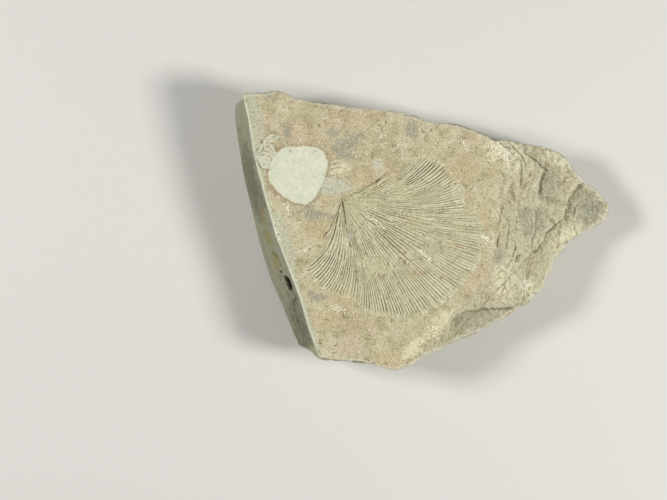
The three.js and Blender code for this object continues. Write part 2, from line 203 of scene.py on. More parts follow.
own_end = np.random.default_rng(RIBS[-1]).uniform(*RIB_ENDS, RIBS[-1] + 1)
own_end = own_end[(RIBS[-1] * phase).astype(int)] + WORN_BACK * worn_margin
faded = on_fan * smooth((1 - own_end - fan_share) / RIB_END_FADE + 0.5)
faded = faded * smooth((1 - fan_share) / RIM_FADE)
groove = groove * marked * faded
crest_highlight = crest_highlight * marked * faded
dish = DISH_DEPTH * np.sin(np.pi * fan_share**DISH_CURVE)
kept_step = np.clip(KEPT_SHARE + bumps(fan_x, fan_y, MARGIN_WEAR), 0, 1) * (1 - worn_margin)
scarp = MARGIN_STEP * full_height * smooth((1 - fan_share) / MARGIN_SCARP) * kept_step
fan_sink = on_fan * (dish + scarp) + RIB_HEIGHT * groove

# The slab's upper edge. It was broken round three sides, and crumbles there, and a saw cut the
# left side straight. The side's normal, its run and its rim are found where each column ends.
OUTLINE = [  # clockwise: x, y, run out to the lower rim (inwards where negative), rim's height
    (-48.1, 36.8, 0.4, 11.5), (-44.1, 37.4, -0.8, 8.5), (-40.1, 37.8, -1.4, 7.0),
    (-37.7, 37.4, -1.6, 6.5), (-35.0, 35.9, -1.2, 6.0), (-30.1, 35.1, -1.0, 5.5),
    (-24.7, 34.1, -1.4, 5.0), (-18.8, 33.4, -1.8, 4.5), (-11.8, 32.8, -1.5, 4.8),
    (-5.9, 31.7, -1.2, 5.6), (-0.5, 30.6, -1.6, 6.0), (2.7, 29.4, -1.8, 5.6),
    (8.1, 28.7, -1.3, 5.0), (13.0, 27.4, -1.0, 4.6), (16.8, 25.9, -1.2, 4.4),
    (20.0, 24.2, -1.4, 4.6), (21.5, 24.8, -1.6, 5.0), (26.0, 23.9, -1.4, 5.2),
    (32.7, 23.2, -1.2, 4.8), (36.6, 21.9, -1.4, 4.2), (39.4, 20.2, -1.5, 4.0),
    (41.9, 17.1, -1.2, 4.0), (44.2, 14.2, -1.2, 4.2), (48.9, 11.1, -1.4, 4.4),
    (51.3, 7.3, -1.2, 4.2), (51.6, 5.4, -1.2, 4.0), (50.5, 3.3, -1.4, 3.8),
    (45.6, 0.3, -1.2, 3.4), (41.9, -2.1, -1.0, 3.2), (38.5, -5.1, -1.2, 3.4),
    (36.1, -7.5, -1.5, 3.6), (35.2, -10.8, -1.6, 4.0), (33.0, -15.7, -1.4, 4.4),
    (30.8, -17.1, -1.4, 4.6), (30.2, -18.8, -1.6, 4.6), (25.1, -21.7, -1.4, 4.4),
    (21.0, -24.4, -1.2, 4.2), (15.5, -27.1, -1.2, 4.4), (7.8, -30.3, -1.4, 4.8),
    (1.2, -33.6, -1.6, 5.4), (-2.6, -35.8, -1.6, 6.0), (-6.1, -37.5, -1.4, 6.6),
    (-8.5, -37.7, -1.4, 6.8), (-11.8, -36.3, -1.6, 6.6), (-15.0, -35.2, -1.6, 6.4),
    (-20.7, -34.8, -1.2, 7.0), (-27.6, -34.4, 0.4, 9.5), (-30.7, -25.6, 4.7, 6.0),
    (-32.8, -18.3, 5.6, 3.4), (-35.5, -11.0, 6.2, 1.6), (-37.7, -5.3, 5.8, 2.8),
    (-39.3, -1.3, 5.3, 4.6), (-41.5, 6.4, 4.9, 6.0), (-44.1, 16.0, 4.6, 7.0),
    (-45.6, 22.4, 4.0, 8.8), (-46.8, 30.5, 4.1, 8.8), (-47.8, 34.5, 3.1, 11.2),
]
SAWN_FROM, SAWN_OVER = 1.2, 1.6  # runs at which a side begins to be sawn, and over which it grows
NORMAL_ROUNDS = 3  # how often the normals are evened out round the corners
CRUMBLE = [(3.7, 0.20, 21), (1.1, 0.16, 22)]
margin_x, margin_y = rib(turns)[:, 0], rib(turns)[:, 1]
ray_x, ray_y = margin_x - BEAK[0], margin_y - BEAK[1]
edge = np.zeros((6, columns))
for a, b in zip(OUTLINE, OUTLINE[1:] + OUTLINE[:1]):
    side_x, side_y = b[0] - a[0], b[1] - a[1]
    length = math.hypot(side_x, side_y)
    cross = ray_x * side_y - ray_y * side_x
    out = ((a[0] - BEAK[0]) * side_y - (a[1] - BEAK[1]) * side_x) / cross
    share = ((a[0] - BEAK[0]) * ray_y - (a[1] - BEAK[1]) * ray_x) / cross
    found = np.array([
        BEAK[0] + ray_x * out, BEAK[1] + ray_y * out,
        np.full(columns, -side_y / length), np.full(columns, side_x / length),
        mix(a[2], b[2], share), mix(a[3], b[3], share)])
    edge = np.where((out > 0) & (share >= 0) & (share < 1), found, edge)
edge_x, edge_y, normal_x, normal_y, edge_run, edge_rim = edge
for _ in range(NORMAL_ROUNDS):
    normal_x = (np.roll(normal_x, 1) + normal_x + np.roll(normal_x, -1)) / 3
    normal_y = (np.roll(normal_y, 1) + normal_y + np.roll(normal_y, -1)) / 3
sawn = smooth((edge_run - SAWN_FROM) / SAWN_OVER)
way_round = np.concatenate([[0], np.cumsum(np.hypot(np.diff(edge_x), np.diff(edge_y)))])
crumble = (1 - sawn) * bumps(way_round, 0 * way_round, CRUMBLE)
edge_x = edge_x + normal_x * crumble
edge_y = edge_y + normal_y * crumble

OUTER_RINGS = 62
outer_share = np.linspace(0, 1, OUTER_RINGS + 1)[1:, None]
outer_x = mix(margin_x, edge_x, outer_share)
outer_y = mix(margin_y, edge_y, outer_share)
top_x = np.concatenate([fan_x, outer_x])
top_y = np.concatenate([fan_y, outer_y])

# The bedding surface is nearly flat. It ends on BREAK, and beyond it the stone split from layer
# to layer: it falls away to the right in steps, each with its lower side on the right hand of
# its line, and in thin ledges between them.
BEDDING_HEIGHT = 22.5
BREAK = [
    (-4.8, -37.5), (-1.0, -32.0), (2.7, -28.2), (7.1, -21.5), (10.3, -18.0), (14.1, -15.0),
    (16.2, -11.8), (18.6, -6.4), (19.7, -1.0), (20.0, 4.4), (18.9, 9.8), (19.5, 14.6),
    (21.1, 18.4), (20.0, 27.0),
]
FALL = 0.26
STEPS = [
    {"drop": 0.8, "width": 0.8, "line": [
        (26.3, 10.1), (26.7, 13.8), (27.1, 16.8), (26.6, 18.7), (23.1, 22.5), (20.9, 24.4)]},
    {"drop": 1.6, "width": 1.4, "line": [
        (31.6, 7.0), (32.4, 11.8), (32.7, 14.4), (33.6, 17.0), (32.1, 18.6), (29.8, 20.5),
        (27.0, 22.4)]},
    {"drop": 1.7, "width": 1.0, "line": [
        (25.3, -10.5), (29.2, -6.4), (33.2, -3.2), (36.2, 0.9), (39.7, 4.9), (40.5, 6.5),
        (40.2, 8.4), (41.8, 11.1), (44.6, 14.0)]},
    {"drop": 2.4, "width": 1.1, "line": [
        (6.7, -29.0), (7.6, -25.4), (10.8, -22.3), (17.3, -21.1), (24.9, -20.4), (29.0, -19.2)]},
]
STEP_FADE = 3.0
STEP_LEAST = 0.35
WANDER_X = [(2.2, 0.35, 11), (0.9, 0.18, 12)]
WANDER_Y = [(2.2, 0.35, 13), (0.9, 0.18, 14)]
LUMPS = [(7.0, 0.10, 61), (2.6, 0.05, 62)]
BROKEN_LUMPS = [(6.5, 0.8, 63), (2.8, 0.45, 64), (1.3, 0.22, 65)]
BROKEN_GRAIN = 0.7  # the lumps are longer along the break than across it
LEDGE = 0.9
LEDGE_RISER = 0.30
LEDGED = [(5.0, 0.8, 66)]  # how far the ledges show, from place to place
SHADED_FACETS = [  # x, y, two radii and turn of the smooth facets, painted darker grey as shade where they face away from the lamps
    (35.5, 12.6, 2.6, 4.6, 0), (30.0, 2.6, 4.0, 4.0, 0), (45.6, 6.6, 4.4, 5.0, -40),
    (17.0, -24.0, 7.0, 2.2, 14)]
FACETS_CALMER = 0.7  # how much less uneven the break is on them
BREAK_FADE = 3  # beyond BREAK the stone is all fracture after this distance
FALL_FADE, FALL_START = 4, 0.3  # its fall eases in over the first, and has partly begun at BREAK


def nearest(line, x, y):
    """Distance to a line of points, +1 on its right hand or else -1, how far along, its length."""
    best = np.full(np.shape(x), np.inf)
    side = np.ones(np.shape(x))
    along = np.zeros(np.shape(x))
    before = 0.0
    for (ax, ay), (bx, by) in zip(line, line[1:]):
        dx, dy = bx - ax, by - ay
        length = math.hypot(dx, dy)
        share = np.clip(((x - ax) * dx + (y - ay) * dy) / length**2, 0, 1)
        distance = np.hypot(x - ax - dx * share, y - ay - dy * share)
        closer = distance < best
        best = np.where(closer, distance, best)
        side = np.where(closer, np.where((x - ax) * dy - (y - ay) * dx < 0, -1.0, 1.0), side)
        along = np.where(closer, before + share * length, along)
        before += length
    return best, side, along, before


wander_x = top_x + bumps(top_x, top_y, WANDER_X)
wander_y = top_y + bumps(top_x, top_y, WANDER_Y)
distance, side, _, _ = nearest(BREAK, wander_x, wander_y)
past = distance * side
on_facet = spots(top_x, top_y, SHADED_FACETS)
fractured = smooth(past / BREAK_FADE)
height = BEDDING_HEIGHT - FALL * np.maximum(0, past) * smooth(past / FALL_FADE + FALL_START)
uneven_break = fractured * (1 - FACETS_CALMER * on_facet)
height = height + uneven_break * bumps(top_x, top_y * BROKEN_GRAIN, BROKEN_LUMPS)
level = height / LEDGE
riser = smooth((level - np.floor(level) - 0.5) / LEDGE_RISER + 0.5)
ledges = (np.floor(level) + riser) * LEDGE
ledged = uneven_break * np.clip(bumps(top_x, top_y, LEDGED), 0, 1)
height = mix(height + (1 - fractured) * bumps(top_x, top_y, LUMPS), ledges, ledged)
for step in STEPS:
    distance, side, along, length = nearest(step["line"], wander_x, wander_y)
    held = smooth(along / STEP_FADE) * smooth((length - along) / STEP_FADE)
    face = smooth(side * distance / step["width"] + 0.5)
    height = height - step["drop"] * mix(STEP_LEAST, 1, held) * face

# Small forms of the upper surface. Shell plates left clefts in the mould, and the fracture has
# cracks along its steps. A few strong ribs and the ribs of a second shell stand proud.
CLEFTS = [  # half width, depth, line
    (0.16, 0.50, [(-21.5, 8.2), (-21.1, 6.5), (-20.8, 4.6), (-20.6, 2.7), (-20.3, 0.9)]),
    (0.16, 0.32, [(-20.4, 1.6), (-19.9, -1.8), (-19.3, -3.7), (-18.5, -5.6)]),
    (0.18, 0.35, [(-19.4, 9.6), (-16.7, 11.1), (-13.4, 12.7), (-11.0, 14.6)]),
    (0.25, 0.55, [(-12.6, 13.2), (-11.6, 14.0), (-10.7, 14.9)]),
    (0.18, 0.30, [(-19.0, 9.3), (-15.0, 9.4), (-11.4, 8.9), (-8.6, 8.4)]),
    (0.20, 0.40, [(-22.0, 7.3), (-23.4, 3.8), (-24.8, 0.3), (-25.8, -0.5), (-27.2, -2.6)]),
    (0.30, 0.45, [(27.5, 21.9), (30.0, 20.3), (32.1, 18.4), (33.9, 16.7)]),
    (0.48, 0.58, [(34.4, 16.4), (33.4, 17.2), (32.9, 14.9), (32.5, 12.0), (31.9, 9.4)]),
    (0.34, 0.45, [(25.7, 19.9), (26.8, 18.5), (27.2, 17.0), (26.8, 14.0), (26.4, 11.0)]),
    (0.30, 0.55, [(43.4, 13.0), (41.2, 10.2), (40.2, 8.4), (40.4, 6.5), (38.0, 3.0), (34.3, -1.0),
                  (31.3, -5.1), (29.0, -5.9)]),
    (0.28, 0.45, [(43.6, 11.8), (42.0, 10.4), (41.0, 8.8)]),
    (0.28, 0.40, [(43.4, 7.6), (41.8, 5.5), (41.3, 3.6)]),
    (0.28, 0.42, [(8.2, -25.0), (9.0, -23.2), (10.8, -22.1), (15.7, -21.1), (24.6, -20.4)]),
    (0.30, 0.36, [(21.9, 7.0), (21.3, 4.4), (20.8, 1.1)]),
    (0.30, 0.38, [(21.3, -0.1), (20.3, -3.2), (20.4, -5.4)]),
    (0.30, 0.38, [(23.6, 1.2), (22.9, -3.0), (22.4, -5.4)]),
    (0.30, 0.34, [(25.3, -3.7), (24.3, -7.6), (22.6, -10.4)]),
    (0.32, 0.48, [(20.6, 24.2), (22.9, 22.4), (24.6, 20.8), (25.7, 19.9)]),
    (0.32, 0.46, [(23.2, 24.0), (26.0, 21.4), (28.2, 18.4), (28.5, 16.0)]),
    (0.24, 0.50, [(29.6, 3.4), (30.2, 2.4), (30.0, 1.2)]),
    (0.22, 0.40, [(14.6, 22.9), (14.3, 21.5), (15.2, 20.3)]),
    (0.26, 0.40, [(-44.6, 19.4), (-43.6, 17.4), (-42.6, 16.2)]),
    (0.22, 0.35, [(-42.5, 23.4), (-42.8, 22.0), (-41.8, 21.5), (-40.6, 22.2)]),
    (0.22, 0.30, [(-44.3, 21.0), (-43.2, 20.4), (-42.0, 20.8)]),
    (0.30, 0.40, [(25.2, -8.0), (26.2, -6.6), (28.0, -6.0)]),
]
RIDGES = [  # half width, rise (a trough where negative), line
    (0.8, 0.30, [(-18.8, 7.1), (-14.6, 4.0), (-11.8, 1.7), (-8.8, -1.0)]),
    (0.6, 0.22, [(-16.1, 6.1), (-10.9, 2.9), (-6.4, 0.6)]),
    (0.5, 0.25, [(-22.0, 6.6), (-21.6, 3.9), (-21.2, 0.6)]),
    (2.2, -0.5, [(21.2, 4.4), (22.0, -1.0), (21.4, -8.0)]),
    (0.35, 0.32, [(-26.0, 15.2), (-24.2, 16.3), (-21.8, 16.6), (-19.2, 16.4)]),
    (0.35, 0.32, [(-25.8, 16.6), (-23.6, 17.6), (-20.8, 18.0)]),
    (0.35, 0.30, [(-25.6, 18.2), (-23.0, 19.0), (-20.4, 19.0)]),
    (0.35, 0.30, [(-25.6, 14.4), (-23.0, 14.8), (-19.6, 15.0)]),
    (0.30, 0.25, [(-27.2, 12.2), (-24.8, 11.2), (-22.0, 9.9)]),
]
BLUNT_HEAD, HEAD_TAPER, TAIL_TAPER = 0.4, 0.8, 1.6  # of a cleft, along its line
RIDGE_TAPER = 2.0
CLEFT_EDGE, RIDGE_EDGE = 1.5, 1.4  # each has faded out at this many half widths
cleft = np.zeros(top_x.shape)
crooked_x = mix(top_x, wander_x, fractured)
crooked_y = mix(top_y, wander_y, fractured)
for width, depth, line in CLEFTS:
    distance, _, along, length = nearest(line, crooked_x, crooked_y)
    taper = smooth(along / HEAD_TAPER + BLUNT_HEAD) * smooth((length - along) / TAIL_TAPER)
    cleft = np.maximum(cleft, depth * taper * smooth(CLEFT_EDGE - distance / width))
for width, rise, line in RIDGES:
    distance, _, along, length = nearest(line, top_x, top_y)
    taper = smooth(along / RIDGE_TAPER) * smooth((length - along) / RIDGE_TAPER)
    height = height + rise * taper * smooth(RIDGE_EDGE - distance / width)

# Left of the beak a flake came away and left a smooth pale scar with an iron-stained rim. Beside
# it, at the sawn edge, a bit of pitted shell crust still stands out of the stone.
PALE_PATCH = [
    (-41.4, 15.4), (-41.0, 17.2), (-40.3, 18.9), (-39.2, 20.8), (-37.9, 22.1), (-36.0, 22.7),
    (-33.6, 22.8), (-31.0, 22.8), (-28.6, 22.6), (-26.9, 21.8), (-25.8, 20.5), (-25.4, 18.6),
    (-25.6, 16.5), (-26.1, 14.6), (-26.7, 12.8), (-27.5, 11.1), (-28.4, 9.5), (-29.7, 8.0),
    (-31.4, 7.3), (-33.2, 7.4), (-35.2, 8.1), (-37.2, 9.3), (-39.0, 10.8), (-40.4, 12.5),
    (-41.2, 14.0), (-41.4, 15.4),
]
CRUST = [
    (-38.2, 25.4), (-39.6, 24.6), (-40.6, 23.8), (-40.1, 22.4), (-39.0, 21.1), (-39.3, 19.2),
    (-40.1, 17.6), (-41.4, 16.9), (-43.1, 17.0), (-44.1, 18.4), (-44.7, 19.7), (-44.4, 21.3),
    (-43.3, 23.0), (-42.5, 24.8), (-41.2, 25.9), (-39.6, 26.1), (-38.2, 25.4),
]
FRAYED_X = [(1.6, 0.15, 15)]
FRAYED_Y = [(1.6, 0.15, 16)]
OUTLINE_SLOPE = 0.9  # width of the slope across both outlines
SCAR_DEPTH = 0.18
STAIN_WIDTH = 2.0
CRUST_RISE = 0.28
CRUST_LIP, LIP_INSET, LIP_WIDTH = 0.30, 0.3, 0.7
PIT_DEPTH = 0.35
PIT_WIDTH, PIT_SEED = 0.8, 51
PIT_STEEPNESS, PIT_SPACING = 1.8, 0.1
PITTED_ABOVE = 20.6  # the crust's lower lobe is smooth


def depth_inside(outline, x, y):
    """Distance to a closed outline, negative outside it."""
    distance, _, _, _ = nearest(outline, x, y)
    inside = np.zeros(np.shape(x), bool)
    for (ax, ay), (bx, by) in zip(outline, outline[1:]):
        if ay != by:
            level_x = ax + (y - ay) * (bx - ax) / (by - ay)
            inside ^= ((ay > y) != (by > y)) & (x < level_x)
    return np.where(inside, distance, -distance)


frayed_x = top_x + bumps(top_x, top_y, FRAYED_X)
frayed_y = top_y + bumps(top_x, top_y, FRAYED_Y)
in_patch = depth_inside(PALE_PATCH, frayed_x, frayed_y)
pale = smooth(in_patch / OUTLINE_SLOPE + 0.5)
stained_rim = (1 - smooth(-in_patch / STAIN_WIDTH)) * (1 - pale)
in_crust = depth_inside(CRUST, frayed_x, frayed_y)
crusted = smooth(in_crust / OUTLINE_SLOPE + 0.5)
lip = smooth(1 - np.abs(in_crust - LIP_INSET) / LIP_WIDTH)
pits = smooth(relief(top_x, top_y, PIT_WIDTH, PIT_SEED) * PIT_STEEPNESS - PIT_SPACING)
pits = pits * smooth(top_y - PITTED_ABOVE)
height = height - SCAR_DEPTH * pale + crusted * (CRUST_RISE - PIT_DEPTH * pits) + CRUST_LIP * lip

# The upper edge is worn round, and least along the sawn side. The rounding depends on how far a
# point lies in from the edge, so that distance is found first.
EDGE_ROUNDING, EDGE_ROUND_WIDTH = 0.5, 1.1
SAWN_ROUNDING, SAWN_ROUND_WIDTH = 0.12, 0.3
FAR_FROM_EDGE = 99.0  # stands for the distance from the edge inside the mould
across = np.hypot(edge_x - margin_x, edge_y - margin_y)
inset = np.concatenate([np.full(fan_x.shape, FAR_FROM_EDGE), across * (1 - outer_share)])
rounding = mix(EDGE_ROUNDING, SAWN_ROUNDING, sawn)
round_width = mix(EDGE_ROUND_WIDTH, SAWN_ROUND_WIDTH, sawn)
flat = np.zeros(outer_x.shape)
top_z = height - np.concatenate([fan_sink, flat]) - cleft
top_z = top_z - rounding * (1 - smooth(inset / round_width))**2

# The sides. The saw left a plane that leans outwards, and it cut open the hollows of dissolved
# shells and a crack. The broken sides are uneven, with creases where the bedding layers part.
SIDE_RINGS = 28
SAWN_LEAN = 0.295
BULGE = 0.5
LAYERS = [(5.0, 0.55, 71), (1.6, 0.30, 73)]
THIN_LAYERS = [(1.3, 0.35, 72)]
THIN_LAYER_STRETCH, CREASE_STRETCH = 3, 8  # how many times longer than high they are
CREASE, CREASE_SEED, CREASE_WIDTH, CREASE_DEPTH = 1.7, 74, 0.16, 0.35
SAWN_LOW, SAWN_HIGH = (-27.9, -33.4), (-47.6, 33.5)
FACE_HOLLOWS = [  # along the face from its lower end, down it, length, height, depth, turn
    (20.9, 6.0, 4.9, 4.8, 3.6, 0.0), (30.2, 9.6, 1.2, 2.0, 1.8, 0.3),
    (29.0, 8.3, 1.2, 2.2, 1.8, 0.3), (27.9, 7.2, 1.3, 1.8, 1.8, 0.3),
    (26.5, 6.8, 1.4, 1.6, 1.6, 0.2), (24.3, 9.4, 1.1, 2.6, 1.8, 0.0),
    (23.2, 12.6, 2.4, 1.6, 1.8, 0.3), (22.7, 8.6, 1.0, 1.6, 1.4, 0.0),
]
FACE_CRACK = [
    (17.4, 3.4), (16.4, 5.4), (15.2, 8.6), (14.0, 9.4), (12.6, 8.0), (11.4, 7.8), (10.2, 9.0),
    (9.4, 11.2), (8.9, 13.6)]
CRACK_DEPTH, CRACK_WIDTH, CRACK_EDGE = 0.6, 0.38, 1.3
CRACK_HEAD, CRACK_TAIL = 2, 4  # lengths over which it narrows
DARK_RIM, DARK_OVER = 1.2, 0.4  # in radii: how far out the painted shade in a hollow ends, and where it fades
CROOKED_ALONG = [(2.0, 0.6, 76), (0.9, 0.15, 77)]
CROOKED_DOWN = [(2.0, 0.7, 78)]
side_share = np.linspace(0, 1, SIDE_RINGS + 1)[1:, None]
head = top_z[-1]
side_z = mix(head, edge_rim, side_share)
belly = np.sin(np.pi * side_share)
layers = bumps(way_round, side_z, LAYERS)
layers = layers + bumps(way_round / THIN_LAYER_STRETCH, side_z, THIN_LAYERS)
parting = relief(way_round / CREASE_STRETCH, side_z, CREASE, CREASE_SEED)
crease = 1 - smooth(np.abs(parting) / CREASE_WIDTH)
uneven_side = np.sqrt(belly) * (layers - CREASE_DEPTH * crease)
broken_run = side_share * edge_run + BULGE * belly + uneven_side
sawn_run = side_share * SAWN_LEAN * (head - edge_rim)
side_out = mix(broken_run, sawn_run, sawn)

saw_length = math.dist(SAWN_LOW, SAWN_HIGH)
saw_x = (SAWN_HIGH[0] - SAWN_LOW[0]) / saw_length
saw_y = (SAWN_HIGH[1] - SAWN_LOW[1]) / saw_length
along_face = (edge_x - SAWN_LOW[0]) * saw_x + (edge_y - SAWN_LOW[1]) * saw_y
along_face = np.broadcast_to(along_face, side_z.shape)
down_face = (head - side_z) * math.hypot(1, SAWN_LEAN)
crooked_along = along_face + bumps(along_face, down_face, CROOKED_ALONG)
crooked_down = down_face + bumps(along_face, down_face, CROOKED_DOWN)
hollow = np.zeros(side_z.shape)
hole_shade = np.zeros(side_z.shape)
for along, down, wide, tall, deep, turn in FACE_HOLLOWS:
    c, s = math.cos(turn), math.sin(turn)
    u = ((crooked_along - along) * c + (crooked_down - down) * s) * 2 / wide
    v = ((crooked_down - down) * c - (crooked_along - along) * s) * 2 / tall
    hollow = np.maximum(hollow, deep / 2 * np.sqrt(np.clip(1 - u * u - v * v, 0, 1)))
    hole_shade = np.maximum(hole_shade, deep / 2 * smooth((DARK_RIM - np.hypot(u, v)) / DARK_OVER))
distance, _, along, length = nearest(FACE_CRACK, crooked_along, crooked_down)
crack = smooth(CRACK_EDGE - distance / CRACK_WIDTH)
crack = crack * smooth(along / CRACK_HEAD) * smooth((length - along) / CRACK_TAIL)
hollow = np.maximum(hollow, CRACK_DEPTH * crack) * sawn
hole_shade = np.maximum(hole_shade, crack)
side_x = edge_x + normal_x * (side_out - hollow)
side_y = edge_y + normal_y * (side_out - hollow)

# The underside rises from the flat that the slab rests on to the rim of the sides.
FLAT_SHARE = 0.66
UNDERSIDE_RINGS = (0.95, 0.89, 0.82, 0.74, FLAT_SHARE, 0.33)
RISE_CURVE = 1.4
UNDER_LUMP, UNDER_LUMP_WIDTH, UNDER_SEED = 0.5, 3.5, 81
LUMPS_START = 3  # they have their full height a third of the way up from the flat
under_share = np.array(UNDERSIDE_RINGS)[:, None]
rise = np.clip((under_share - FLAT_SHARE) / (1 - FLAT_SHARE), 0, 1)
under_x = mix(BEAK[0], side_x[-1], under_share)
under_y = mix(BEAK[1], side_y[-1], under_share)
under_lumps = np.abs(relief(under_x, under_y, UNDER_LUMP_WIDTH, UNDER_SEED))
under_z = edge_rim * rise**RISE_CURVE + UNDER_LUMP * smooth(rise * LUMPS_START) * under_lumps

# The whole skin is one grid of rings, closed at the beak and in the middle of the underside.
ring_x = np.concatenate([top_x, side_x, under_x]).ravel()
ring_y = np.concatenate([top_y, side_y, under_y]).ravel()
ring_z = np.concatenate([top_z, side_z, under_z]).ravel()
rings = len(ring_x) // columns
poles = np.array([[*BEAK, top_z[0].mean()], [*BEAK, 0.0]])
places = np.concatenate([np.column_stack([ring_x, ring_y, ring_z]), poles]) + [*PLACE, 0.0]
here = np.arange(columns)
after = (here + 1) % columns
faces = []
for r in range(rings - 1):
    inner, outer = r * columns, (r + 1) * columns
    faces += np.column_stack([inner + here, inner + after, outer + after, outer + here]).tolist()
beak_pole, under_pole = rings * columns, rings * columns + 1
last = (rings - 1) * columns
faces += np.column_stack([np.full(columns, beak_pole), after, here]).tolist()
faces += np.column_stack([np.full(columns, under_pole), last + here, last + after]).tolist()
skin = bpy.data.meshes.new("slab")
skin.from_pydata((places * MM).tolist(), [], faces)
skin.shade_smooth()
slab = bpy.data.objects.new("slab_stone", skin)
bpy.context.scene.collection.objects.link(slab)

# Where the stone's surface changes: iron stains, grey smudges and fresh rock beside the saw cut,
# and painted light and shade: painted light where broken slopes face the lamps, painted glints and
# highlights, and painted shade. Ovals are x, y, two radii and turn. The mesh keeps each as a share
# from 0 to 1 for the material to read.
SMUDGES = [
    (-20.2, 23.8, 4.4, 2.4, 15), (-24.3, 26.4, 1.7, 1.2, 0), (-21.6, 21.0, 3.4, 1.4, -20),
    (-28.8, 4.9, 4.0, 1.7, -10), (-40.4, 36.2, 1.5, 1.1, 0), (-36.6, 26.5, 1.3, 2.6, 25),
    (-2.4, 27.3, 2.0, 2.4, 0), (-27.5, -17.8, 3.0, 1.2, 0), (20.6, -6.4, 1.2, 2.4, 10),
    (46.8, 6.0, 2.6, 3.4, -40),
]
OCHRE = [
    (-8.6, -34.6, 4.6, 2.4, 0), (10.8, 16.5, 4.2, 3.4, 0), (12.6, 9.6, 1.0, 3.4, 0),
    (16.8, 4.4, 1.6, 3.4, 0), (-26.1, -23.9, 4.0, 2.2, 0), (-43.1, 31.3, 2.4, 1.6, 0),
    (-15.3, 14.3, 3.4, 3.4, 30), (-7.2, 16.5, 2.4, 2.4, 0), (-20.7, -18.5, 3.4, 2.4, 0),
    (-28.8, 1.2, 3.4, 2.6, -30), (-33.9, -10.5, 1.1, 0.9, 0), (3.6, -25.6, 3.2, 1.6, 40),
    (-25.0, 8.4, 2.4, 1.2, 0), (19.4, 16.4, 1.4, 2.4, 0),
]
RUST = [
    (-2.6, 2.2, 1.0, 0.6, -30), (8.9, -3.7, 1.6, 0.5, -20), (-1.0, -11.0, 0.8, 1.2, 0),
    (-48.2, 35.4, 1.0, 1.6, 0),
]
ROSY = [(-40.0, 28.4, 4.0, 2.6, 0), (-20.0, -31.0, 5.0, 2.6, 0)]
PALE_GREY = [(-23.8, 12.2, 3.8, 2.2, -10), (-20.2, -2.2, 0.8, 2.2, 0), (-12.0, 17.6, 1.2, 1.4, 0)]
# painted light: pale ovals, mostly on broken slopes that face the lamps
PAINTED_LIGHT = [
    (22.8, 21.0, 6.4, 4.0, -35), (22.6, -12.6, 3.0, 6.0, -10), (4.6, -24.6, 5.4, 1.5, 45),
    (-2.0, -31.8, 4.6, 1.4, 45), (29.0, -14.8, 2.0, 2.4, 0), (37.0, 20.4, 4.0, 1.6, -30),
    (40.0, -0.6, 4.6, 1.4, 42), (-22.6, 16.6, 3.0, 2.0, 10),
]
GLINTS = [
    (9.6, 10.6, 1.4, 4.6, 5), (11.2, 24.2, 2.6, 1.0, 0), (12.4, 22.4, 1.6, 1.0, 0),
    (17.6, -3.0, 2.4, 1.4, -30), (-17.2, -5.8, 0.7, 1.4, 20), (22.8, 21.0, 4.6, 2.6, -35),
    (28.0, -14.0, 1.8, 2.2, 0), (3.0, -27.0, 1.8, 3.4, -40), (-41.6, 24.0, 1.4, 1.6, 0),
    (44.0, 13.5, 2.4, 1.0, -40), (-31.5, -5.6, 2.0, 1.2, 0), (-12.0, 2.0, 4.0, 1.6, -40),
    (-23.0, 29.6, 1.6, 0.8, 0), (-43.2, 9.0, 0.8, 2.2, 15), (-36.6, 5.6, 2.6, 0.8, -40),
    (1.0, -6.0, 3.0, 0.8, -45), (-22.6, -21.6, 3.0, 1.0, -20), (-38.8, -1.0, 0.9, 4.0, 17),
    (-35.0, -10.6, 0.9, 3.4, 17), (-10.6, 26.0, 2.0, 0.8, 0), (-6.8, 22.8, 1.4, 0.8, 30),
]
DARK_FACE = [(9.0, 8.0, 10.0, 9.0, 0), (50.0, 9.0, 12.0, 8.0, 0)]  # along and down the sawn face
OCHRE_FACE = [(39.1, 7.4, 3.8, 2.6, 0), (34.0, 8.6, 2.6, 2.6, 0), (27.8, 9.6, 3.4, 4.4, 0)]
FRESH_STRIP = [  # distance along the sawn edge, and the strip's width there
    (0, 1.4), (12, 0.9), (24, 1.6), (31, 3.4), (38, 3.6), (40.5, 1.0), (48, 0.8), (51, 2.0),
    (58, 3.2), (66, 4.2), (72, 3.6)]
STRIP_FADE = 1.6
# width of the painted highlight along the sawn upper edge
SAWN_EDGE_HIGHLIGHT_WIDTH = 0.8
EDGE_HIGHLIGHT_TOP, EDGE_HIGHLIGHT_SIDE = 1.5, 0.12  # reach of the painted highlight on the upper edges: from the edge in millimetres, and as a share of the side
SIDE_STAIN, SIDE_STAIN_WIDTH, SIDE_STAIN_SEED = 0.8, 9.0, 75
SIDE_STAIN_STRETCH = 2  # how many times longer than high the side's stains are
UNDER_STAIN = 0.5
ROUGH_BEDDING = 0.35  # against 1 for the fracture
SMOOTH_SAW, SMOOTH_FACET, SMOOTH_MOULD, SMOOTH_SCAR = 0.97, 0.6, 0.7, 0.6  # shares taken off
UNDER_ROUGH_START = 4  # the underside has its full roughness a quarter of the way up
LEAST_SAWN_RUN = 0.3  # the outline's points with a greater run belong to the sawn side
SPREAD_X = [(3.4, 0.9, 91), (1.3, 0.5, 92)]
SPREAD_Y = [(3.4, 0.9, 93), (1.3, 0.5, 94)]


def over_all(top, side, under):
    """One share for each point of the skin, from its values on the top, sides and underside."""
    blocks = [np.broadcast_to(top, top_x.shape), np.broadcast_to(side, side_x.shape),
              np.broadcast_to(under, under_x.shape)]
    return np.concatenate([b.ravel() for b in blocks] + [[blocks[0][0, 0], blocks[2][0, 0]]])


def blots(ovals):
    """The ovals' shares on the upper surface, with ragged outlines."""
    ragged_x = top_x + bumps(top_x, top_y, SPREAD_X)
    ragged_y = top_y + bumps(top_x, top_y, SPREAD_Y)
    return over_all(spots(ragged_x, ragged_y, ovals), 0, 0)


